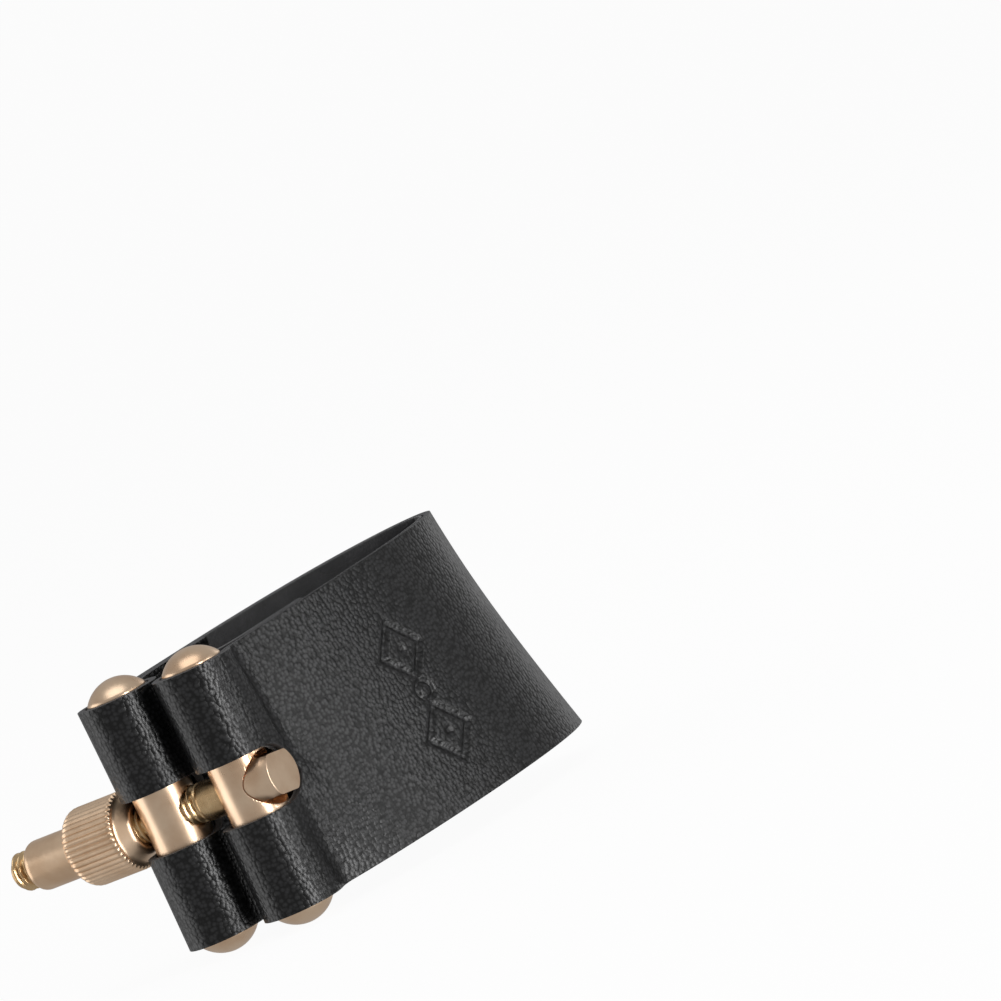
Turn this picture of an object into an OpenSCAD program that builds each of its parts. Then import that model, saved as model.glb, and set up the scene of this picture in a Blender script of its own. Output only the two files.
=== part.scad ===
// Saxophone ligature: a leather strip bent into a loop, its two ends folded round brass posts,
// and a clamp rod with a thumb nut that draws the posts together.
// The rod lies along X with its head at +X, the posts stand along Z, and the loop runs away along +Y.

/* [Posts] */
// Diameter of each brass post
post_d = 6; // [5.6:0.1:6.4]
// Length of a post over both domed ends
post_length = 28.5; // [27:0.5:30]
// Height of each domed end
dome_height = 1.6; // [1.2:0.1:2]
// Distance between the axes of the two posts
post_spacing = 9.16; // [9:0.02:9.6]

/* [Leather] */
// Thickness of the grained leather
leather_thickness = 0.75; // [0.5:0.05:0.8]
// Thickness of the suede lining inside it
lining_thickness = 0.35; // [0.2:0.05:0.4]
// Width of the strip
strip_width = 25; // [22:0.5:26]
// How far the loop's lower rim stands out past its middle, and its upper rim stands in
flare = 2.4; // [0:0.1:3]
// How far both rims rise towards the loop's far bend
rim_rise = 1.4; // [0:0.05:2]
// Reach of the loop from the rod's axis
loop_reach = 41.2; // [38:0.2:46]
// Height of the window punched in each folded end
window_height = 6; // [5.8:0.1:6.4]
// Length of each glued tail along the wall, in stations of the wall's outline
tail_steps = 4; // [3:1:12]

/* [Clamp rod] */
// Diameter of the rod's smooth shank and of its thread
rod_d = 3.9; // [3.6:0.02:3.9]
// Distance from one thread crest to the next
thread_pitch = 0.7; // [0.5:0.1:0.8]
// Depth of the thread
thread_depth = 0.36; // [0.2:0.02:0.4]
// Diameter of the rod's head
head_d = 5.3; // [5:0.1:5.4]
// Distance between the head's two flats
head_flats = 4; // [3.8:0.1:4.6]

/* [Thumb nut] */
// Diameter over the knurl
knurl_d = 7.9; // [7.6:0.1:8]
// Length of the knurled body
knurl_length = 6.3; // [5:0.1:8]
// Number of ridges round the knurl
knurl_ridges = 42; // [30:1:48]
// Diameter of the smooth stem
stem_d = 5; // [4.8:0.1:5.4]
// Length of the stem
stem_length = 5.75; // [5:0.05:6]

/* [Hidden] */
$fn = 64;

// Posts and the holes through them
post_r = post_d / 2;
post_x = post_spacing / 2;
dome_sphere_r = (post_r * post_r + dome_height * dome_height) / (2 * dome_height);
rod_r = rod_d / 2;
running_gap = 0.05;
hole_r = rod_r + running_gap;
counterbore_r = head_d / 2 + 0.1;
counterbore_floor = post_x + 0.8;

// Leather
wall_thickness = leather_thickness + lining_thickness;
fold_gap = 0.03;
fold_inner_r = post_r + fold_gap;
fold_outer_r = fold_inner_r + wall_thickness;
half_width = strip_width / 2;
tail_start_angle = 98;
seam_angle = 0.3;
glue_gap = 0.06;
layer_gap = 0.05;
window_end_y = -0.15;
window_reach = 20;

// Wall outline: a short hollow beside the right fold, then two cubic curves, to the far bend and
// back to the left fold. Angles are measured from +X.
hollow_angle = 31;
hollow_r = 1.2;
hollow_turn = 60;
hollow_steps = 5;
hollow_centre = [post_x, 0] + (fold_outer_r + hollow_r) * [cos(hollow_angle), sin(hollow_angle)];
front_start = hollow_centre - hollow_r * [cos(hollow_angle - hollow_turn), sin(hollow_angle - hollow_turn)];
front_heading = [cos(90 + hollow_angle - hollow_turn), sin(90 + hollow_angle - hollow_turn)];
front_pull = 19.3;
front_bend_pull = [8.7, 0];
bend = [10.3, loop_reach];
back_bend_pull = [11.2, 0];
back_angle = 159;
back_end = [-post_x, 0] + fold_outer_r * [cos(back_angle), sin(back_angle)];
back_heading = [cos(73), sin(73)];
back_pull = 5;
wall_steps = 32;
lining_margin = 3;

// Clamp rod
head_floor = counterbore_floor + 0.05;
head_end = 8.9;
head_chamfer_x = 0.85;
head_chamfer_r = 0.12;
head_turn = -7;
thread_end = -23.7;
thread_count = 33;
thread_lead = 0.35;
thread_start = thread_end + thread_lead + thread_count * thread_pitch;
thread_root_r = rod_r - thread_depth;

// Thumb nut, from its nose beside the left post to the end of its stem
nose_x = -8;
nose_r = 2.35;
nose_base_r = 3.4;
knurl_x = -9.35;
knurl_r = knurl_d / 2;
knurl_depth = 0.22;
shoulder_r = 1.05;
shoulder_base_r = knurl_r - knurl_depth - 0.03;
shoulder_steps = 4;
stem_r = stem_d / 2;
stem_round = 0.7;
stem_end = knurl_x - knurl_length - stem_length;
nut_bore_r = rod_r + running_gap;

function cubic(a, b, c, d, t) =
    pow(1 - t, 3) * a + 3 * pow(1 - t, 2) * t * b + 3 * (1 - t) * t * t * c + pow(t, 3) * d;
function unit(v) = v / norm(v);
function outward(v) = unit([v[1], -v[0]]);

// Points of the wall's outer face at mid height
hollow_points = [for (i = [0:hollow_steps - 1])
    let (angle = 180 + hollow_angle - hollow_turn * i / hollow_steps)
    hollow_centre + hollow_r * [cos(angle), sin(angle)]];
front_points = [for (i = [0:wall_steps])
    cubic(front_start, front_start + front_pull * front_heading,
          bend + front_bend_pull, bend, i / wall_steps)];
back_points = [for (i = [1:wall_steps])
    cubic(bend, bend - back_bend_pull, back_end + back_pull * back_heading, back_end, i / wall_steps)];
wall_points = concat(hollow_points, front_points, back_points);
last_point = len(wall_points) - 1;
wall_normals = [for (i = [0:last_point])
    outward(wall_points[min(i + 1, last_point)] - wall_points[max(i - 1, 0)])];
wall_lengths = [for (i = 0, s = 0; i <= last_point;
    s = s + (i < last_point ? norm(wall_points[i + 1] - wall_points[i]) : 0), i = i + 1) s];

// The loop is a slight cone: the lower rim stands out and the upper rim stands in
function swell(i) = sin(180 * wall_lengths[i] / wall_lengths[last_point]);
function lean(i) = flare * sqrt(max(0, swell(i)));
function wall_point(i, depth, side) =
    let (p = wall_points[i] - (depth + side * lean(i)) * wall_normals[i])
    [p[0], p[1], side * half_width + rim_rise * swell(i)];

// A ribbon's section at each station is outer top, inner top, inner bottom, outer bottom.
// Its outer and inner faces are cut into triangles along the same diagonals, so that one ribbon
// can lie close inside another.
function wall_section(i, near, far) =
    [wall_point(i, near, 1), wall_point(i, far, 1), wall_point(i, far, -1), wall_point(i, near, -1)];

module ribbon(sections) {
    last = len(sections) - 1;
    points = [for (section = sections, point = section) point];
    sides = [for (i = [0:last - 1], k = [0:3])
        let (a = 4 * i + k, b = 4 * i + (k + 1) % 4)
        each k == 3 ? [[a, b, b + 4], [a, b + 4, a + 4]] : [[a, b, a + 4], [b, b + 4, a + 4]]];
    polyhedron(points, concat([[0, 2, 1], [0, 3, 2]],
        [[4 * last + 2, 4 * last, 4 * last + 1], [4 * last + 3, 4 * last, 4 * last + 2]], sides));
}

// Reach of the whole ligature on each side of the rod's axis midway between the posts
outer_rims = [for (i = [0:last_point], side = [-1, 1]) wall_point(i, 0, side)];
reach_left = thread_end;
reach_right = max([for (p = outer_rims) p[0]]);
reach_front = -fold_outer_r;
reach_back = max([for (p = outer_rims) p[1]]);

// The tail runs from the fold's end, behind the post, along the inside of the wall.
// Its lining side is glued to the wall's lining. hand is 1 on the right fold and -1 on the left.
tail_depth = wall_thickness + glue_gap;
right_tail_join = hollow_steps + 2;
left_tail_join = last_point - 7;
tail_bend_steps = 7;
tail_pull = 1.2;
function fold_point(side, hand, angle) =
    [hand * (post_x + fold_inner_r * cos(angle)), fold_inner_r * sin(angle), side * half_width];
function tail_curve(side, hand) =
    let (a = fold_point(side, hand, tail_start_angle - seam_angle),
         joint = hand > 0 ? right_tail_join : left_tail_join,
         d = wall_point(joint, tail_depth, side),
         ahead = unit(wall_point(joint + hand, tail_depth, side) - d))
    concat([for (i = [0:tail_bend_steps - 1])
            cubic(a, a + tail_pull * [hand * sin(tail_start_angle), -cos(tail_start_angle), 0],
                  d - tail_pull * ahead, d, i / tail_bend_steps)],
        [for (i = [0:tail_steps]) wall_point(joint + hand * i, tail_depth, side)]);
function left_of(points, i, hand) =
    let (d = points[min(i + 1, len(points) - 1)] - points[max(i - 1, 0)])
    hand * unit([-d[1], d[0], 0]);

module tail(hand) {
    upper = tail_curve(1, hand);
    lower = tail_curve(-1, hand);
    sections = [for (i = [0:len(upper) - 1])
        [upper[i], upper[i] + wall_thickness * left_of(upper, i, hand),
         lower[i] + wall_thickness * left_of(lower, i, hand), lower[i]]];
    last = len(sections) - 1;
    ribbon(hand > 0 ? sections : [for (i = [last:-1:0]) sections[i]]);
}

// The window: everything in front of the post, with a half-round end behind it
module window_cut() {
    translate([-window_reach, -window_reach, -window_height / 2])
        cube([2 * window_reach, window_reach + window_end_y, window_height]);
    translate([-window_reach, window_end_y, 0])
        rotate([0, 90, 0])
            cylinder(d = window_height, h = 2 * window_reach);
}

// The gap at the back of a fold, between where the wall leaves it and where its tail ends
module fold_mouth(hand) {
    mouth_r = 2 * fold_outer_r;
    wall_angle = hand > 0 ? hollow_angle : 180 - back_angle;
    middle_angle = (wall_angle + tail_start_angle) / 2;
    corners = [for (angle = [wall_angle, middle_angle, tail_start_angle])
        mouth_r * [hand * cos(angle), sin(angle)]];
    translate([0, 0, -strip_width])
        linear_extrude(2 * strip_width)
            polygon(concat([[0, 0]], corners));
}

// A leather end folded round a post, with its window and its glued tail
module fold(hand) {
    difference() {
        translate([hand * post_x, 0, 0])
            difference() {
                translate([0, 0, -half_width])
                    cylinder(r = fold_outer_r, h = strip_width);
                translate([0, 0, -strip_width])
                    cylinder(r = fold_inner_r, h = 2 * strip_width);
                fold_mouth(hand);
            }
        window_cut();
    }
    tail(hand);
}

// Lays a shape that stands along Z down along X, with its base at the given x
module along_x(x) {
    translate([x, 0, 0])
        rotate([0, 90, 0])
            children();
}

// The same, but running towards -X
module against_x(x) {
    translate([x, 0, 0])
        rotate([0, -90, 0])
            children();
}

// Half of a post's outline: a straight side with a spherical cap at each end
module post_outline() {
    translate([0, -post_length / 2 + dome_height])
        square([post_r, post_length - 2 * dome_height]);
    for (end = [0, 1])
        mirror([0, end])
            intersection() {
                translate([0, post_length / 2 - dome_sphere_r])
                    circle(r = dome_sphere_r);
                translate([0, post_length / 2 - dome_height - 0.01])
                    square([post_r, dome_height + 0.01]);
            }
}

// A post with the rod's hole through it, its mouths eased, standing at the given x
module drilled_post(x) {
    difference() {
        translate([x, 0, 0])
            rotate_extrude()
                post_outline();
        along_x(x - post_d)
            cylinder(r = hole_r, h = 2 * post_d);
        children();
    }
}

// Half of the threaded rod's outline, measured along its axis from the left end
module thread_outline() {
    crests = [for (i = [0:thread_count - 1]) each [
        [rod_r, thread_lead + (i + 0.4) * thread_pitch],
        [rod_r, thread_lead + (i + 0.6) * thread_pitch],
        [thread_root_r, thread_lead + (i + 1) * thread_pitch]]];
    polygon(concat([[0, 0], [thread_root_r, 0], [thread_root_r, thread_lead]], crests,
        [[0, thread_lead + thread_count * thread_pitch]]));
}

// Half of the outline of the round shoulder between the knurl and the stem
module shoulder_outline() {
    polygon(concat([[0, 0]],
        [for (i = [0:shoulder_steps])
            let (angle = 90 * i / shoulder_steps)
            [shoulder_base_r - shoulder_r * (1 - cos(angle)), shoulder_r * sin(angle)]],
        [[0, shoulder_r]]));
}

module stem_outline() {
    square([stem_r, stem_length - stem_round]);
    square([stem_r - stem_round, stem_length]);
    translate([stem_r - stem_round, stem_length - stem_round])
        circle(r = stem_round);
}

// Cross-section of the knurl: straight ridges all round
module knurl_section() {
    polygon([for (i = [0:knurl_ridges - 1], part = [[0.15, 1], [0.5, 0], [0.85, 1]])
        let (angle = 360 * (i + part[0]) / knurl_ridges, r = knurl_r - knurl_depth * (1 - part[1]))
        r * [cos(angle), sin(angle)]]);
}

module leather_band() {
    color("#1b1b1d")
        difference() {
            ribbon([for (i = [0:last_point]) wall_section(i, 0, leather_thickness)]);
            window_cut();
        }
}

module inner_lining() {
    color("#3a3a3c")
        ribbon([for (i = [hollow_steps:last_point - lining_margin])
            wall_section(i, leather_thickness + layer_gap, wall_thickness)]);
}

module right_loop() {
    color("#202022")
        fold(1);
}

module left_loop() {
    color("#202022")
        fold(-1);
}

// The right post has a round counterbore on its outer side that takes the rod's head
module right_post() {
    color("#c8a27c")
        drilled_post(post_x)
            along_x(counterbore_floor)
                cylinder(r = counterbore_r, h = post_d);
}

module left_post() {
    color("#c8a27c")
        drilled_post(-post_x);
}

// Rod: threaded at the left, smooth at the right, with a round head cut flat above and below
module clamp_rod() {
    color("#c9a67f") {
        along_x(thread_end)
            rotate_extrude()
                thread_outline();
        along_x(thread_start)
            cylinder(r = rod_r, h = head_floor - thread_start);
        intersection() {
            along_x(head_floor)
                union() {
                    cylinder(r = head_d / 2, h = head_end - head_chamfer_x - head_floor);
                    translate([0, 0, head_end - head_chamfer_x - head_floor])
                        cylinder(r1 = head_d / 2, r2 = head_d / 2 - head_chamfer_r, h = head_chamfer_x);
                }
            rotate([head_turn, 0, 0])
                translate([head_floor, -head_d, -head_flats / 2])
                    cube([head_end - head_floor, 2 * head_d, head_flats]);
        }
    }
}

// Nut: a cone nose towards the posts, a knurled body and a smooth stem, bored right through
module thumb_nut() {
    color("#c5a076")
        difference() {
            union() {
                along_x(knurl_x)
                    cylinder(r1 = nose_base_r, r2 = nose_r, h = nose_x - knurl_x);
                against_x(knurl_x)
                    linear_extrude(knurl_length - shoulder_r)
                        knurl_section();
                against_x(knurl_x - knurl_length + shoulder_r)
                    rotate_extrude()
                        shoulder_outline();
                against_x(knurl_x - knurl_length)
                    rotate_extrude()
                        stem_outline();
            }
            along_x(stem_end - 1)
                cylinder(r = nut_bore_r, h = nose_x - stem_end + 2);
        }
}

// Moves the whole ligature so that its box is centred on Z and stands on the floor
module placed() {
    translate([-(reach_left + reach_right) / 2, -(reach_front + reach_back) / 2, post_length / 2])
        children();
}

placed() {
    leather_band();
    inner_lining();
    right_loop();
    left_loop();
    right_post();
    left_post();
    clamp_rod();
    thumb_nut();
}
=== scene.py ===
"""Looks of the saxophone ligature: leather strip, brass posts, clamp rod and thumb nut."""

import math

import bmesh
import bpy
import numpy as np
from mathutils import Matrix, Vector

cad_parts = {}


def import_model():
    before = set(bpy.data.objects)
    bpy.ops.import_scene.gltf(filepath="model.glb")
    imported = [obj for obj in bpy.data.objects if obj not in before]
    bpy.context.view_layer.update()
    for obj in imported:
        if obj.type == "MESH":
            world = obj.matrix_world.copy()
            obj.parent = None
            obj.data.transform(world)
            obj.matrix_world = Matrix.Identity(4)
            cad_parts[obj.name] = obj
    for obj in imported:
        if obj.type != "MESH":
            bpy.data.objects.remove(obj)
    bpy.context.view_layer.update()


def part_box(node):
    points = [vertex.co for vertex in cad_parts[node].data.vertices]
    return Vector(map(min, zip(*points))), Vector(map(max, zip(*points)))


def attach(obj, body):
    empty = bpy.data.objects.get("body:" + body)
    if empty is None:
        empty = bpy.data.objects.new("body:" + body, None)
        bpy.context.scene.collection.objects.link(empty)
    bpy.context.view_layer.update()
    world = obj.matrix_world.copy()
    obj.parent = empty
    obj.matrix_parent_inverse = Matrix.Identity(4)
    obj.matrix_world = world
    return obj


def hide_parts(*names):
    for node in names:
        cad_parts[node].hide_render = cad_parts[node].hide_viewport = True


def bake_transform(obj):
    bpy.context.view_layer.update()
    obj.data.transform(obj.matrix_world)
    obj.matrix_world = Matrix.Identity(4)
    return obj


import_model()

MM = 0.001

# ---------------------------------------------------------------- places, from the frame


def middle_of(node):
    low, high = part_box(node)
    return (low + high) / 2


ROD_LOW, ROD_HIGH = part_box("clamp_rod")
RIGHT_POST = middle_of("right_post")
LEFT_POST = middle_of("left_post")
POST_LOW, POST_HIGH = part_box("right_post")
ORIGIN = Vector(((RIGHT_POST.x + LEFT_POST.x) / 2, RIGHT_POST.y, (ROD_LOW.z + ROD_HIGH.z) / 2))

# Sizes in millimetres, measured from ORIGIN, as in the CAD model
POST_X = (RIGHT_POST.x - LEFT_POST.x) / 2 / MM
POST_R = (POST_HIGH.x - POST_LOW.x) / 2 / MM
POST_HALF = (POST_HIGH.z - POST_LOW.z) / 2 / MM
THREAD_END = (ROD_LOW.x - ORIGIN.x) / MM
HEAD_END = (ROD_HIGH.x - ORIGIN.x) / MM
HEAD_R = (ROD_HIGH.y - ROD_LOW.y) / 2 / MM
NUT_LOW, NUT_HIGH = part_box("thumb_nut")
STEM_END = (NUT_LOW.x - ORIGIN.x) / MM
NOSE_X = (NUT_HIGH.x - ORIGIN.x) / MM
KNURL_R = (NUT_HIGH.z - NUT_LOW.z) / 2 / MM

# The strip: grained leather over a lining, with a hair's gap where one layer lies on another
LEATHER = 0.75
LINING = 0.35
STRIP = LEATHER + LINING
LAYER_GAP = 0.005
GLUE = 0.06
FOLD_GAP = 0.03
FOLD_INNER = POST_R + FOLD_GAP
HALF_WIDTH = 12.5
EDGE_WEAR = 0.14

# How far the rims rise towards the far bend, and lean out (lower) or in (upper)
RIM_RISE = 1.4
FLARE = 2.4

# The window punched through each fold: half its height, where its half-round end starts, and half
# the height to which the mesh rows between its edges close up behind that end
WINDOW_HALF = 3.0
WINDOW_Y = -0.15
CLOSED_HALF = 0.3

# Where each folded end leaves its post, and how wide a curve it takes to the wall, for the right (1)
# and the left (-1) fold
TAIL_ANGLE = math.radians(98)
TAIL_PULL = {1: 1.6, -1: 2.0}

# Spacing of the mesh along and across the strip, and rounds of easing along it
GRAIN_STEP = 0.15
LINING_STEP = 0.5
EASING_ROUNDS = 12
TAIL_POINTS = 60
TURN_POINTS = 40
FOLD_POINTS = 120
WALL_POINTS = 400

# The wall is measured in stations: 0 to 5 round the hollow beside the right fold, 5 to 37 along the
# front to the far bend, and 37 to 69 along the back to the left fold. Each tail is glued to it from
# its end station to its joint.
HOLLOW_STATIONS = 5
CURVE_STATIONS = 32
BEND_STATION = HOLLOW_STATIONS + CURVE_STATIONS
LAST_STATION = BEND_STATION + CURVE_STATIONS
SEAM_OVERRUN = 1
RIGHT_TAIL = (11, 7)
LEFT_TAIL = (58, 62)


def direction(angle):
    return np.array([math.cos(angle), math.sin(angle)])


# The wall's outer face in plan: an arc round the hollow, then one curve to the bend and one back
HOLLOW_ANGLE = math.radians(31)
HOLLOW_TURN = math.radians(60)
HOLLOW_R = 1.2
HOLLOW_CENTRE = np.array([POST_X, 0]) + (FOLD_INNER + STRIP + HOLLOW_R) * direction(HOLLOW_ANGLE)
FRONT_START = HOLLOW_CENTRE - HOLLOW_R * direction(HOLLOW_ANGLE - HOLLOW_TURN)
FRONT_PULL = 19.3 * direction(math.pi / 2 + HOLLOW_ANGLE - HOLLOW_TURN)
BEND = np.array([10.3, 41.2])
FRONT_BEND_PULL = np.array([8.7, 0])
BACK_BEND_PULL = np.array([11.2, 0])
BACK_ANGLE = math.radians(159)
BACK_END = np.array([-POST_X, 0]) + (FOLD_INNER + STRIP) * direction(BACK_ANGLE)
BACK_PULL = 5.0 * direction(math.radians(73))

# Two lozenges and a ring pressed into the front wall: half sizes, and half widths of their lines
ORNAMENT_CENTRE = np.array([14.6, 19.4, -0.15])
ORNAMENT_HEADING = np.array([0.27, 0.963, 0])
ORNAMENT_REACH = 5
ORNAMENT_DEPTH = 0.3
LOZENGE_OFFSET = 4.4
LOZENGE_HALF = (2.7, 2.9)
LOZENGE_LINE = 0.6
DOT_R = 0.8
RING_R = 0.95
RING_LINE = 0.5

# Brass
DOME = 1.6
POST_EASE = 0.07
RUNNING_GAP = 0.05
ROD_R = 1.95
HOLE_R = ROD_R + RUNNING_GAP
THREAD_PITCH = 0.7
THREAD_DEPTH = 0.36
THREAD_STOP = -0.25
THREAD_RUN_OUT = 0.5
THREAD_LEAD = 0.45
THREAD_LEAD_DROP = 0.25
ROWS_PER_TURN = 12
COUNTERBORE_R = HEAD_R + 0.1
COUNTERBORE_FLOOR = POST_X + 0.8
HEAD_FLAT = 2.0
HEAD_TURN = math.radians(-7)
HEAD_TAPER = (0.85, 0.12)
HEAD_EASE = 0.1
NOSE_R = 2.35
NOSE_BASE_R = 3.4
KNURL_X = -9.35
KNURL_LENGTH = 6.3
KNURL_RIDGES = 42
KNURL_DEPTH = 0.15
KNURL_VALLEY = 0.34
KNURL_ROUND = 1.05
STEM_R = 2.5
STEM_ROUND = (0.7, 0.45)
ROUND_SIDES = 96
POST_SIDES = 160


def place(points):
    """Points in millimetres from ORIGIN, as points in the frame."""
    return np.asarray(points, float) * MM + np.array(ORIGIN)


# ---------------------------------------------------------------- mesh helpers


def new_object(name, vertices, faces, sharp=35):
    mesh = bpy.data.meshes.new(name)
    mesh.from_pydata([tuple(v) for v in vertices], [], faces)
    mesh.validate()
    mesh.shade_smooth()
    mesh.set_sharp_from_angle(angle=math.radians(sharp))
    thing = bpy.data.objects.new(name, mesh)
    bpy.context.scene.collection.objects.link(thing)
    return thing


def apply_modifiers(thing):
    bpy.context.view_layer.update()
    graph = bpy.context.evaluated_depsgraph_get()
    mesh = bpy.data.meshes.new_from_object(thing.evaluated_get(graph))
    thing.modifiers.clear()
    thing.data = mesh
    return thing


def lathe(name, stations, angles, radius, sharp=35, capped=True):
    """A shape turned round X: stations are (x, r) pairs and radius(x, r, angle) is the true radius."""
    rings = [[(x, radius(x, r, a) * math.cos(a), radius(x, r, a) * math.sin(a)) for a in angles]
             for x, r in stations]
    vertices = [p for ring in rings for p in ring]
    count = len(angles)
    faces = []
    for i in range(len(rings) - 1):
        for k in range(count):
            n = (k + 1) % count
            faces.append((i * count + k, i * count + n, (i + 1) * count + n, (i + 1) * count + k))
    if capped:
        for i, flip in ((0, True), (len(rings) - 1, False)):
            ring = [i * count + k for k in range(count)]
            faces.append(tuple(reversed(ring)) if flip else tuple(ring))
    else:
        last = (len(rings) - 1) * count
        for k in range(count):
            n = (k + 1) % count
            faces.append((last + k, last + n, n, k))
    thing = new_object(name, place(vertices), faces, sharp)
    fix_normals(thing)
    return thing


def fix_normals(thing):
    work = bmesh.new()
    work.from_mesh(thing.data)
    bmesh.ops.recalc_face_normals(work, faces=work.faces)
    work.to_mesh(thing.data)
    work.free()


def even_angles(count):
    return [2 * math.pi * k / count for k in range(count)]


def plain(x, r, angle):
    return r


# ---------------------------------------------------------------- leather strip


def cubic(a, b, c, d, t):
    t = np.asarray(t, float)[:, None]
    return (1 - t) ** 3 * a + 3 * (1 - t) ** 2 * t * b + 3 * (1 - t) * t ** 2 * c + t ** 3 * d


def wall_outline(station):
    """The wall's outer face at mid height, at each station."""
    station = np.asarray(station, float)
    turned = math.pi + HOLLOW_ANGLE - HOLLOW_TURN * np.clip(station / HOLLOW_STATIONS, 0, 1)
    hollow = HOLLOW_CENTRE + HOLLOW_R * np.column_stack([np.cos(turned), np.sin(turned)])
    front = cubic(FRONT_START, FRONT_START + FRONT_PULL, BEND + FRONT_BEND_PULL, BEND,
                  np.clip((station - HOLLOW_STATIONS) / CURVE_STATIONS, 0, 1))
    back = cubic(BEND, BEND - BACK_BEND_PULL, BACK_END + BACK_PULL, BACK_END,
                 np.clip((station - BEND_STATION) / CURVE_STATIONS, 0, 1))
    in_hollow = (station < HOLLOW_STATIONS)[:, None]
    in_front = (station < BEND_STATION)[:, None]
    return np.where(in_hollow, hollow, np.where(in_front, front, back))


EVERY_STATION = np.linspace(0, LAST_STATION, 1500)
LENGTHS = np.r_[0, np.cumsum(np.linalg.norm(np.diff(wall_outline(EVERY_STATION), axis=0), axis=1))]


def wall_face(station, depth, side):
    """The wall at a depth inside its outer face, on its upper (1) or lower (-1) rim: X, Y and rise."""
    station = np.asarray(station, float)
    step = 0.5
    ahead = (wall_outline(np.clip(station + step, 0, LAST_STATION))
             - wall_outline(np.clip(station - step, 0, LAST_STATION)))
    normal = np.column_stack([ahead[:, 1], -ahead[:, 0]])
    normal /= np.linalg.norm(normal, axis=1)[:, None]
    swell = np.maximum(0, np.sin(math.pi * np.interp(station, EVERY_STATION, LENGTHS) / LENGTHS[-1]))
    plan = wall_outline(station) - (depth + side * FLARE * np.sqrt(swell))[:, None] * normal
    return np.column_stack([plan, RIM_RISE * swell])


def lining_path(hand, side):
    """The strip's lining side from the glued tail's end, round the post, to just past the far bend."""
    tail_end, tail_joint = RIGHT_TAIL if hand > 0 else LEFT_TAIL
    tail = wall_face(np.linspace(tail_end, tail_joint, TAIL_POINTS), STRIP + GLUE, side)
    joint = tail[-1]
    ahead = tail[-2] - joint
    ahead /= np.linalg.norm(ahead)
    fold_start = np.array([hand * (POST_X + FOLD_INNER * math.cos(TAIL_ANGLE)),
                           FOLD_INNER * math.sin(TAIL_ANGLE), 0])
    heading = np.array([hand * math.sin(TAIL_ANGLE), -math.cos(TAIL_ANGLE), 0])
    pull = TAIL_PULL[hand]
    turn = cubic(joint, joint - pull * ahead, fold_start + pull * heading, fold_start,
                 np.linspace(0, 1, TURN_POINTS))[1:-1]
    wall_angle = HOLLOW_ANGLE if hand > 0 else math.pi - BACK_ANGLE
    angles = np.linspace(TAIL_ANGLE, 2 * math.pi + wall_angle, FOLD_POINTS)
    fold = np.column_stack([hand * (POST_X + FOLD_INNER * np.cos(angles)),
                            FOLD_INNER * np.sin(angles), np.zeros(len(angles))])
    leaving = 0 if hand > 0 else LAST_STATION
    past_bend = BEND_STATION + hand * SEAM_OVERRUN
    wall = wall_face(np.linspace(leaving, past_bend, WALL_POINTS)[1:], STRIP, side)
    return np.vstack([tail, turn, fold, wall])


def resample(path, count):
    lengths = np.r_[0, np.cumsum(np.linalg.norm(np.diff(path, axis=0), axis=1))]
    at = np.linspace(0, lengths[-1], count)
    return np.column_stack([np.interp(at, lengths, path[:, k]) for k in range(path.shape[1])])


def soften(path, rounds):
    """Eases the corners of a path, and keeps its two ends."""
    for _ in range(rounds):
        path[1:-1] = (path[:-2] + 2 * path[1:-1] + path[2:]) / 4
    return path


def strip_levels(step):
    """Heights across the strip, with rows on the window's two edges."""
    outer = max(2, round((HALF_WIDTH - WINDOW_HALF) / step))
    inner = max(2, round(2 * WINDOW_HALF / step))
    return np.r_[np.linspace(-HALF_WIDTH, -WINDOW_HALF, outer + 1),
                 np.linspace(-WINDOW_HALF, WINDOW_HALF, inner + 1)[1:-1],
                 np.linspace(WINDOW_HALF, HALF_WIDTH, outer + 1)]


def window_edge(y):
    """Half the window's height: full in front of the post's middle, then a half-round end."""
    behind = np.clip((y - WINDOW_Y) / WINDOW_HALF, 0, 1)
    closing = WINDOW_HALF * np.sqrt(1 - behind ** 2)
    opening = WINDOW_HALF * np.clip((y - WINDOW_Y - WINDOW_HALF) / WINDOW_HALF, 0, 1)
    return np.maximum(np.maximum(closing, opening), CLOSED_HALF)


def strip_surface(hand, depth, step):
    """A grid of points on the strip at a depth under its grained face, and its outward normals."""
    paths = {side: lining_path(hand, side) for side in (1, -1)}
    length = np.linalg.norm(np.diff(paths[1], axis=0), axis=1).sum()
    count = round(length / step)
    paths = {side: soften(resample(path, count), EASING_ROUNDS) for side, path in paths.items()}
    levels = strip_levels(step)
    share = (levels / HALF_WIDTH + 1) / 2
    grid = paths[-1][:, None, :] * (1 - share)[None, :, None] + paths[1][:, None, :] * share[None, :, None]
    plan, rise = grid[..., :2], grid[..., 2]
    ahead = np.gradient(plan, axis=0)
    normal = np.dstack([ahead[..., 1], -ahead[..., 0]]) * hand
    normal /= np.linalg.norm(normal, axis=2)[..., None]
    plan = plan + (STRIP - depth) * normal
    edges = window_edge(plan[:, len(levels) // 2, 1])
    height = np.array([np.interp(levels, [-HALF_WIDTH, -WINDOW_HALF, WINDOW_HALF, HALF_WIDTH],
                                 [-HALF_WIDTH, -edge, edge, HALF_WIDTH]) for edge in edges])
    points = np.dstack([plan, height + rise])
    normals = np.dstack([normal, np.zeros_like(height)])
    return points, normals, levels


def window_span(points):
    """First and last station of the window that is punched through the folded end."""
    middle = points[:, points.shape[1] // 2, 1]
    stations = np.flatnonzero(middle < WINDOW_Y + WINDOW_HALF)
    return stations[0], stations[-1]


def pressed_line(distance, half_width):
    """A groove's share of full depth at a distance from the middle of its line."""
    return np.clip(1 - (distance / half_width) ** 2, 0, 1) ** 2


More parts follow.
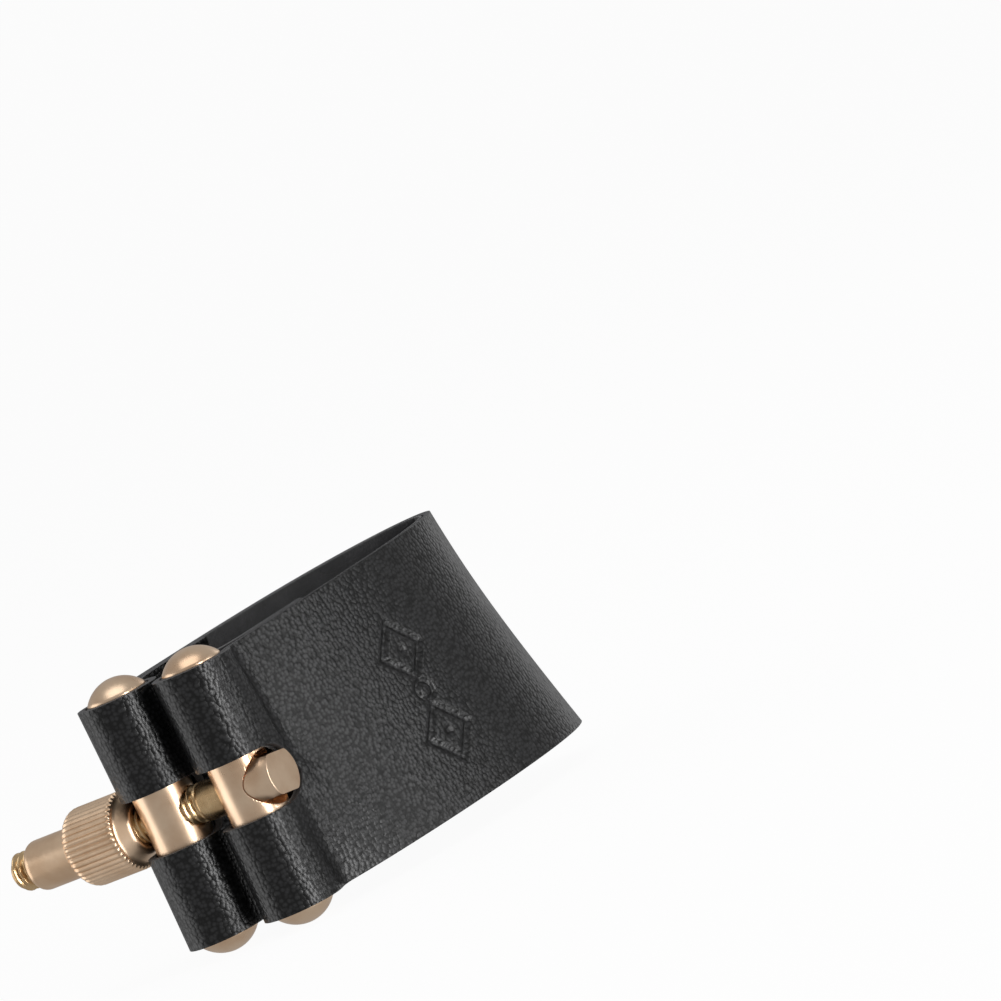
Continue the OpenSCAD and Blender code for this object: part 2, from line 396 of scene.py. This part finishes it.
def ornament(points):
    """How deep the ornament is pressed at each point of the front wall, from 0 to 1."""
    along = (points - ORNAMENT_CENTRE) @ ORNAMENT_HEADING
    up = points[..., 2] - ORNAMENT_CENTRE[2]
    on_wall = points[..., 1] > ORNAMENT_CENTRE[1] - ORNAMENT_REACH
    groove = np.zeros(along.shape)
    half_length, half_height = LOZENGE_HALF
    for centre in (-LOZENGE_OFFSET, LOZENGE_OFFSET):
        lozenge = np.abs(np.abs(along) / half_length + np.abs(up - centre) / half_height - 1) * 2.0
        groove = np.maximum(groove, pressed_line(lozenge, LOZENGE_LINE))
        groove = np.maximum(groove, pressed_line(np.hypot(along, up - centre), DOT_R))
    ring = np.abs(np.hypot(along, up) - RING_R)
    groove = np.maximum(groove, pressed_line(ring, RING_LINE))
    return np.where(on_wall, groove, 0)


def strip_piece(name, hand, depth, thickness, step, pressed):
    """One layer of one half of the strip, with its window left out and its edges worn."""
    points, normals, levels = strip_surface(hand, depth, step)
    if pressed:
        points = points - ORNAMENT_DEPTH * ornament(points)[..., None] * normals
    stations, rows = points.shape[:2]
    first, last = window_span(points)
    faces = []
    for i in range(stations - 1):
        for k in range(rows - 1):
            in_window = abs((levels[k] + levels[k + 1]) / 2) < WINDOW_HALF and first <= i < last
            if in_window:
                continue
            a, b = i * rows + k, (i + 1) * rows + k
            face = (a, b, b + 1, a + 1)
            faces.append(face if hand > 0 else face[::-1])
    thing = new_object(name, place(points.reshape(-1, 3)), faces)
    solid = thing.modifiers.new("thickness", "SOLIDIFY")
    solid.thickness = thickness * MM
    solid.offset = -1
    solid.material_offset = 1
    solid.material_offset_rim = 2
    edge = thing.modifiers.new("edge", "BEVEL")
    edge.width = EDGE_WEAR * MM
    edge.segments = 2
    edge.limit_method = "ANGLE"
    edge.angle_limit = math.radians(50)
    return thing


def trim_at_bend(thing, hand):
    """Cuts a half of the strip off square at the far bend, where the other half carries on."""
    work = bmesh.new()
    work.from_mesh(thing.data)
    near = place([0, BEND[1] - 5, 0])[1]
    faces = [face for face in work.faces if face.calc_center_median().y > near]
    # dict.fromkeys drops repeats and keeps the order, so that every run gives the same mesh
    edges = dict.fromkeys(edge for face in faces for edge in face.edges)
    corners = dict.fromkeys(corner for face in faces for corner in face.verts)
    cut = bmesh.ops.bisect_plane(work, geom=[*corners, *edges, *faces], dist=1e-8,
                                 plane_co=place([*BEND, 0]), plane_no=(-hand, 0, 0), clear_outer=True)
    rim = [part for part in cut["geom_cut"] if isinstance(part, bmesh.types.BMEdge)]
    bmesh.ops.contextual_create(work, geom=rim)
    work.to_mesh(thing.data)
    work.free()


# ---------------------------------------------------------------- brass


def turned_post(name, x, counterbored):
    """A post with domed ends, a hole for the rod and, on the right, a recess for the rod's head."""
    sphere = (POST_R ** 2 + DOME ** 2) / (2 * DOME)
    top = math.asin(POST_R / sphere)
    cap = [(sphere * math.sin(top * k / 14), POST_HALF - sphere + sphere * math.cos(top * k / 14))
           for k in range(15)]
    cap[0] = (0.02, cap[0][1])
    side = [(POST_R, z) for z in np.linspace(POST_HALF - DOME - 0.1, -POST_HALF + DOME + 0.1, 40)]
    outline = cap + side + [(r, -z) for r, z in reversed(cap)]
    angles = even_angles(POST_SIDES)
    vertices = [(x + r * math.cos(a), r * math.sin(a), z) for r, z in outline for a in angles]
    count = len(angles)
    faces = []
    for i in range(len(outline) - 1):
        for k in range(count):
            n = (k + 1) % count
            faces.append((i * count + k, (i + 1) * count + k, (i + 1) * count + n, i * count + n))
    faces.append(tuple(range(count)))
    faces.append(tuple(reversed(range((len(outline) - 1) * count, len(outline) * count))))
    post = new_object(name, place(vertices), faces)
    fix_normals(post)
    past = 5
    cutters = [lathe("hole", [(x - past, HOLE_R), (x + past, HOLE_R)], even_angles(ROUND_SIDES), plain)]
    if counterbored:
        cutters.append(lathe("counterbore",
                             [(COUNTERBORE_FLOOR, COUNTERBORE_R), (x + past, COUNTERBORE_R)],
                             even_angles(ROUND_SIDES), plain))
    for cutter in cutters:
        cut = post.modifiers.new("cut", "BOOLEAN")
        cut.operation = "DIFFERENCE"
        cut.solver = "EXACT"
        cut.object = cutter
        apply_modifiers(post)
        bpy.data.objects.remove(cutter)
    ease = post.modifiers.new("ease", "BEVEL")
    ease.width = POST_EASE * MM
    ease.segments = 2
    ease.limit_method = "ANGLE"
    ease.angle_limit = math.radians(40)
    ease.harden_normals = True
    apply_modifiers(post)
    post.data.shade_smooth()
    post.data.set_sharp_from_angle(angle=math.radians(50))
    return post


def thread_wave(turns):
    """Height of the thread, from 0 at the root to 1 at the crest, after so many turns."""
    phase = turns - math.floor(turns)
    rise = 1 - abs(2 * phase - 1)
    steepness = 1.25
    root_flat = 0.08
    return min(1, max(0, steepness * rise - root_flat))


def threaded_rod():
    """The rod's shank: a helical thread that fades in at its end and out before the right post."""
    start, stop = THREAD_END, THREAD_STOP
    rows = round((stop - start) / THREAD_PITCH * ROWS_PER_TURN)
    xs = np.linspace(start, stop, rows + 1)

    def radius(x, r, angle):
        if x > stop + 1e-6:
            return r
        deep = THREAD_DEPTH * min(1, (stop - x) / THREAD_RUN_OUT)
        lead = min(1, max(0, (x - start) / THREAD_LEAD))
        wave = thread_wave((x - start) / THREAD_PITCH - angle / (2 * math.pi))
        return r - deep * (1 - wave * lead) - THREAD_LEAD_DROP * (1 - lead)

    stations = [(x, ROD_R) for x in xs]
    stations += [(stop + RUNNING_GAP, ROD_R), (COUNTERBORE_FLOOR + RUNNING_GAP, ROD_R)]
    return lathe("rod_shank", stations, even_angles(ROUND_SIDES), radius, sharp=60)


def rod_head():
    """The rod's round head, with two flats and a slight taper towards its face."""
    corner = math.asin(HEAD_FLAT / HEAD_R)
    arcs = []
    for low, high, steps in ((-corner, corner, 36), (corner, math.pi - corner, 14),
                             (math.pi - corner, math.pi + corner, 36),
                             (math.pi + corner, 2 * math.pi - corner, 14)):
        arcs += list(np.linspace(low, high, steps, endpoint=False))

    def radius(x, r, angle):
        rise = abs(math.sin(angle))
        return min(r, HEAD_FLAT / rise) if rise > 1e-6 else r

    base = COUNTERBORE_FLOOR + RUNNING_GAP
    length, drop = HEAD_TAPER
    shoulder = HEAD_END - length
    stations = [(base, HEAD_R - HEAD_EASE), (base + HEAD_EASE, HEAD_R), (shoulder - 0.04, HEAD_R),
                (shoulder + 0.04, HEAD_R - 0.03), (HEAD_END - 0.05, HEAD_R - drop),
                (HEAD_END, HEAD_R - drop - 0.05)]
    head = lathe("rod_head", stations, arcs, radius, sharp=24)
    axis = Matrix.Translation(ORIGIN)
    head.data.transform(axis @ Matrix.Rotation(HEAD_TURN, 4, "X") @ axis.inverted())
    return head


def thumb_nut():
    """The nut: a cone nose, a knurled body with a rounded left end, and a smooth stem."""
    left = KNURL_X - KNURL_LENGTH
    flat_r = KNURL_R - KNURL_ROUND + 0.05
    outline = [(NOSE_X, HOLE_R), (NOSE_X, NOSE_R - 0.13), (NOSE_X - 0.05, NOSE_R - 0.03)]
    outline += [(x, NOSE_R + (NOSE_BASE_R - NOSE_R) * (NOSE_X - x) / (NOSE_X - KNURL_X))
                for x in np.linspace(NOSE_X - 0.1, KNURL_X + 0.06, 6)]
    outline += [(KNURL_X + 0.02, NOSE_BASE_R + 0.04), (KNURL_X, KNURL_R - 0.26),
                (KNURL_X - 0.12, KNURL_R - 0.1), (KNURL_X - 0.24, KNURL_R)]
    outline += [(x, KNURL_R) for x in np.linspace(KNURL_X - 0.5, left + KNURL_ROUND, 14)]
    outline += [(left + KNURL_ROUND - KNURL_ROUND * math.sin(a), KNURL_R - KNURL_ROUND * (1 - math.cos(a)))
                for a in np.linspace(0.1, math.pi / 2, 12)]
    outline += [(left, STEM_R + 0.3), (left - 0.04, STEM_R + 0.18), (left - 0.16, STEM_R + 0.03),
                (left - 0.3, STEM_R)]
    outline += [(x, STEM_R) for x in np.linspace(left - 0.6, STEM_END + 0.75, 12)]
    end_length, end_drop = STEM_ROUND
    outline += [(STEM_END + end_length - end_length * math.sin(a), STEM_R - end_drop * (1 - math.cos(a)))
                for a in np.linspace(0.1, math.pi / 2, 8)]
    outline += [(STEM_END, HOLE_R)]

    def radius(x, r, angle):
        if r < flat_r or x > KNURL_X or x < left - 0.01:
            return r
        phase = (angle * KNURL_RIDGES / (2 * math.pi)) % 1
        valley = max(0, 1 - (min(phase, 1 - phase) / KNURL_VALLEY)) ** 0.8
        fade = min(1, (r - flat_r) / 0.4) * min(1, (KNURL_X - x) / 0.05)
        return r - KNURL_DEPTH * valley * fade

    return lathe("nut_body", outline, even_angles(KNURL_RIDGES * 12), radius, sharp=50, capped=False)


# ---------------------------------------------------------------- materials


class Nodes:
    """A short way to write a node tree."""

    def __init__(self, name):
        self.material = bpy.data.materials.new(name)
        self.material.use_nodes = True
        self.tree = self.material.node_tree
        self.shader = self.tree.nodes["Principled BSDF"]
        self.place = self.add("ShaderNodeTexCoord").outputs["Object"]

    def add(self, kind, **settings):
        node = self.tree.nodes.new(kind)
        for key, value in settings.items():
            setattr(node, key, value)
        return node

    def link(self, source, target):
        self.tree.links.new(source, target)

    def put(self, **values):
        for key, value in values.items():
            self.shader.inputs[key.replace("_", " ")].default_value = value

    def stretched(self, scale):
        mapping = self.add("ShaderNodeMapping")
        mapping.inputs["Scale"].default_value = scale
        self.link(self.place, mapping.inputs["Vector"])
        return mapping.outputs["Vector"]

    def noise(self, scale, detail=3.0, rough=0.5, vector=None):
        node = self.add("ShaderNodeTexNoise")
        node.inputs["Scale"].default_value = scale
        node.inputs["Detail"].default_value = detail
        node.inputs["Roughness"].default_value = rough
        self.link(vector or self.place, node.inputs["Vector"])
        return node.outputs["Fac"]

    def ramp(self, source, stops):
        node = self.add("ShaderNodeValToRGB")
        elements = node.color_ramp.elements
        while len(elements) < len(stops):
            elements.new(0.5)
        for element, (at, colour) in zip(elements, stops):
            element.position = at
            element.color = (*colour, 1)
        self.link(source, node.inputs["Fac"])
        return node.outputs["Color"]

    def span(self, source, low, high, to_low, to_high):
        node = self.add("ShaderNodeMapRange")
        for name, value in (("From Min", low), ("From Max", high), ("To Min", to_low), ("To Max", to_high)):
            node.inputs[name].default_value = value
        self.link(source, node.inputs["Value"])
        return node.outputs["Result"]

    def combine(self, operation, a, b):
        node = self.add("ShaderNodeMath", operation=operation)
        for socket, value in zip(node.inputs, (a, b)):
            if isinstance(value, (int, float)):
                socket.default_value = value
            else:
                self.link(value, socket)
        return node.outputs["Value"]

    def bump(self, height, distance, strength=1.0, below=None):
        node = self.add("ShaderNodeBump")
        node.inputs["Strength"].default_value = strength
        node.inputs["Distance"].default_value = distance
        self.link(height, node.inputs["Height"])
        if below is not None:
            self.link(below, node.inputs["Normal"])
        return node.outputs["Normal"]


def grained_leather():
    """Black leather: small round pebbles with soft creases between them, and a slow change of gloss."""
    n = Nodes("grained_leather")
    wobble = n.add("ShaderNodeTexNoise")
    wobble.inputs["Scale"].default_value = 1100
    n.link(n.place, wobble.inputs["Vector"])
    moved = n.add("ShaderNodeVectorMath", operation="MULTIPLY_ADD")
    moved.inputs[1].default_value = (0.00012, 0.00012, 0.00012)
    n.link(wobble.outputs["Color"], moved.inputs[0])
    n.link(n.place, moved.inputs[2])
    pebbles = n.add("ShaderNodeTexVoronoi", feature="SMOOTH_F1")
    pebbles.inputs["Scale"].default_value = 2400
    pebbles.inputs["Randomness"].default_value = 0.75
    pebbles.inputs["Smoothness"].default_value = 0.25
    n.link(moved.outputs["Vector"], pebbles.inputs["Vector"])
    distance = pebbles.outputs["Distance"]
    domes = n.combine("SUBTRACT", 1, n.combine("MULTIPLY", n.combine("MULTIPLY", distance, distance), 2.2))
    slow = n.bump(n.noise(500, 3), 0.00004, 0.3)
    n.link(n.bump(domes, 0.00003, 1.0, slow), n.shader.inputs["Normal"])
    n.link(n.span(n.noise(180, 4), 0.3, 0.7, 0.27, 0.36), n.shader.inputs["Roughness"])
    n.link(n.span(domes, 0.2, 0.9, 0.32, 0.52), n.shader.inputs["Specular IOR Level"])
    # Base colour is darker in the creases and lighter on the pebble tops: painted shade in the creases and
    # a painted sheen on the tops.
    n.link(n.ramp(domes, [(0.2, (0.003, 0.003, 0.003)), (0.7, (0.008, 0.008, 0.0085)),
                          (1.0, (0.012, 0.012, 0.013))]), n.shader.inputs["Base Color"])
    return n.material


def cut_edge():
    """The strip's cut edge: painted grey-black, flecked paler grey by fine noise across its whole face."""
    n = Nodes("leather_cut_edge")
    fibres = n.noise(4200, 4, 0.7)
    n.link(n.ramp(fibres, [(0.3, (0.03, 0.03, 0.032)), (0.6, (0.085, 0.085, 0.09)),
                           (0.85, (0.17, 0.17, 0.175))]), n.shader.inputs["Base Color"])
    n.link(n.bump(fibres, 0.00005, 0.6), n.shader.inputs["Normal"])
    n.put(Roughness=0.62)
    return n.material


def suede():
    """The lining: short dark grey nap with lighter brushed patches."""
    n = Nodes("suede_lining")
    nap = n.noise(5200, 5, 0.75)
    patches = n.noise(300, 3)
    n.link(n.ramp(n.combine("ADD", n.combine("MULTIPLY", nap, 0.6), n.combine("MULTIPLY", patches, 0.4)),
                  [(0.35, (0.010, 0.010, 0.011)), (0.55, (0.028, 0.028, 0.030)),
                   (0.75, (0.075, 0.075, 0.078))]), n.shader.inputs["Base Color"])
    n.link(n.bump(nap, 0.00014, 1.0), n.shader.inputs["Normal"])
    n.put(Roughness=0.95, Sheen_Weight=0.35, Sheen_Roughness=0.5)
    return n.material


def brass(name, colour, tarnish, roughness, grain):
    """Satin rose brass: tool marks along one direction, slow tarnish and small pits."""
    n = Nodes(name)
    marks = n.noise(1, 4, 0.6, n.stretched(grain))
    stain = n.noise(260, 4, 0.55)
    pits = n.noise(3600, 3, 0.6)
    n.link(n.ramp(stain, [(0.34, tarnish), (0.6, colour)]), n.shader.inputs["Base Color"])
    low, high = roughness
    mixed = n.combine("ADD", n.combine("MULTIPLY", marks, 0.5), n.combine("MULTIPLY", stain, 0.5))
    n.link(n.span(mixed, 0.3, 0.7, low, high), n.shader.inputs["Roughness"])
    lines = n.bump(marks, 0.000006, 0.8)
    n.link(n.bump(pits, 0.000008, 0.5, lines), n.shader.inputs["Normal"])
    n.put(Metallic=1.0)
    return n.material


# ---------------------------------------------------------------- build the pieces

# Each layer's outer face, its inner face and its cut edge
CUT_EDGE = cut_edge()
LEATHER_LOOK = [grained_leather(), CUT_EDGE, CUT_EDGE]
SUEDE_LOOK = [suede()] * 3

ROSE = (0.85, 0.64, 0.455)
ROSE_DARK = (0.73, 0.50, 0.33)
POST_BRASS = brass("post_brass", ROSE, ROSE_DARK, (0.24, 0.36), (2600, 2600, 260))
ROD_BRASS = brass("rod_brass", ROSE, ROSE_DARK, (0.26, 0.38), (500, 3200, 3200))
THREAD_BRASS = brass("thread_brass", (0.80, 0.58, 0.33), (0.55, 0.36, 0.18), (0.2, 0.34),
                     (3000, 900, 900))
NUT_BRASS = brass("nut_brass", (0.85, 0.63, 0.44), (0.74, 0.51, 0.33), (0.28, 0.40), (1800, 900, 900))


def dress(thing, looks):
    thing.data.materials.clear()
    for look in looks:
        thing.data.materials.append(look)
    return thing


for hand, place_name in ((1, "right"), (-1, "left")):
    leather = strip_piece(f"leather_{place_name}", hand, 0, LEATHER, GRAIN_STEP, hand > 0)
    dress(leather, LEATHER_LOOK)
    lining = strip_piece(f"lining_{place_name}", hand, LEATHER + LAYER_GAP, LINING - 2 * LAYER_GAP,
                         LINING_STEP, False)
    dress(lining, SUEDE_LOOK)
    for piece, slot_name in ((leather, "grained_leather"), (lining, "suede_lining")):
        apply_modifiers(piece)
        trim_at_bend(piece, hand)
        if hand > 0:
            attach(piece, "band")
        else:
            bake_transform(piece)
    if hand > 0:
        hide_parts("leather_band", "right_loop")
        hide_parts("inner_lining")
    else:
        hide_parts("left_loop")

right_post = dress(turned_post("post_right", POST_X, True), [POST_BRASS])
left_post = dress(turned_post("post_left", -POST_X, False), [POST_BRASS])
shank = dress(threaded_rod(), [THREAD_BRASS])
head = dress(rod_head(), [ROD_BRASS])
nut = dress(thumb_nut(), [NUT_BRASS])
for piece, node, body, slot_name in ((right_post, "right_post", "band", "post_brass"),
                                     (left_post, "left_post", "left_clamp", "post_brass"),
                                     (shank, "clamp_rod", "rod", "rod_brass"),
                                     (head, "clamp_rod", "rod", "rod_brass"),
                                     (nut, "thumb_nut", "nut", "nut_brass")):
    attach(piece, body)
    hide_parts(node)

# ---------------------------------------------------------------- stage, lights and camera

CAMERA_AZIMUTH = math.radians(31.49)
CAMERA_ELEVATION = math.radians(4.8)
CAMERA_ROLL = math.radians(-25.09)
CAMERA_DISTANCE = 0.700
CAMERA_TARGET = Vector(place([30.77, 20.22, 13.9]))
CAMERA_LENS = 266.6


def aim(thing, location, target, roll=0.0):
    """Puts a camera or a light at a place, facing a target and turned about its line of sight."""
    back = (Vector(location) - Vector(target)).normalized()
    right = Vector((0, 0, 1)).cross(back).normalized()
    up = back.cross(right)
    turned_right = right * math.cos(roll) + up * math.sin(roll)
    turned_up = up * math.cos(roll) - right * math.sin(roll)
    thing.matrix_world = Matrix((
        (turned_right.x, turned_up.x, back.x, location[0]),
        (turned_right.y, turned_up.y, back.y, location[1]),
        (turned_right.z, turned_up.z, back.z, location[2]),
        (0, 0, 0, 1)))


def camera():
    data = bpy.data.cameras.new("camera")
    data.lens = CAMERA_LENS
    data.sensor_width = 36
    data.clip_start = 0.01
    thing = bpy.data.objects.new("camera", data)
    bpy.context.scene.collection.objects.link(thing)
    back = Vector((math.sin(CAMERA_AZIMUTH) * math.cos(CAMERA_ELEVATION),
                   -math.cos(CAMERA_AZIMUTH) * math.cos(CAMERA_ELEVATION),
                   math.sin(CAMERA_ELEVATION)))
    aim(thing, CAMERA_TARGET + CAMERA_DISTANCE * back, CAMERA_TARGET, CAMERA_ROLL)
    bpy.context.scene.camera = thing


def soft_box(name, azimuth, elevation, distance, size, brightness):
    """An evenly bright panel that faces the object, so many degrees right of the camera and up."""
    turn = CAMERA_AZIMUTH + math.radians(azimuth)
    tilt = math.radians(elevation)
    data = bpy.data.lights.new(name, "AREA")
    data.shape = "RECTANGLE"
    data.size, data.size_y = size
    data.energy = brightness * math.pi * size[0] * size[1]
    thing = bpy.data.objects.new(name, data)
    bpy.context.scene.collection.objects.link(thing)
    away = Vector((math.sin(turn) * math.cos(tilt), -math.cos(turn) * math.cos(tilt), math.sin(tilt)))
    aim(thing, ORIGIN + distance * away, ORIGIN)


def bright_to_camera(n, shader, white):
    """Mixes in mostly plain white for what the camera sees directly, so the backdrop stays clean."""
    path = n.add("ShaderNodeLightPath")
    glow = n.add("ShaderNodeEmission")
    glow.inputs["Color"].default_value = (white, white, white, 1)
    mix = n.add("ShaderNodeMixShader")
    white_share = 0.9
    n.link(n.combine("MULTIPLY", path.outputs["Is Camera Ray"], white_share), mix.inputs["Fac"])
    n.link(shader.outputs["BSDF"], mix.inputs[1])
    n.link(glow.outputs["Emission"], mix.inputs[2])
    n.link(mix.outputs["Shader"], n.tree.nodes["Material Output"].inputs["Surface"])


def stage():
    """A pale floor that sweeps up behind the object."""
    front, depth, height, radius = -2.0, 1.6, 1.6, 0.5
    profile = [(front, 0.0), (depth - radius, 0.0)]
    profile += [(depth - radius + radius * math.sin(a), radius - radius * math.cos(a))
                for a in np.linspace(0.1, math.pi / 2, 12)]
    profile += [(depth, height)]
    half = 2.5
    turn = Matrix.Rotation(CAMERA_AZIMUTH, 3, "Z")
    vertices = [turn @ Vector((side * half, y, z)) for y, z in profile for side in (-1, 1)]
    faces = [(2 * i, 2 * i + 1, 2 * i + 3, 2 * i + 2) for i in range(len(profile) - 1)]
    floor = new_object("floor", vertices, faces)
    n = Nodes("pale_floor")
    n.put(Base_Color=(0.5, 0.5, 0.5, 1), Roughness=0.9)
    bright_to_camera(n, n.shader, 1.05)
    floor.data.materials.append(n.material)
    floor.visible_glossy = False
    floor.visible_diffuse = False
    floor.visible_shadow = False


def world():
    sky = bpy.data.worlds.new("studio")
    sky.use_nodes = True
    sky.node_tree.nodes["Background"].inputs["Color"].default_value = (1, 1, 1, 1)
    sky.node_tree.nodes["Background"].inputs["Strength"].default_value = 0.4
    bpy.context.scene.world = sky


camera()
stage()
world()
soft_box("key", 38, -2, 0.5, (0.1, 0.5), 11.0)
soft_box("side", 74, -2, 0.5, (0.08, 0.5), 4.2)
soft_box("behind", 140, 0, 0.5, (0.2, 0.5), 0.6)
soft_box("left", -100, 5, 0.5, (0.4, 0.5), 1.2)
soft_box("top", 0, 80, 0.6, (0.5, 0.4), 1.2)
bpy.context.scene.view_settings.view_transform = "Standard"
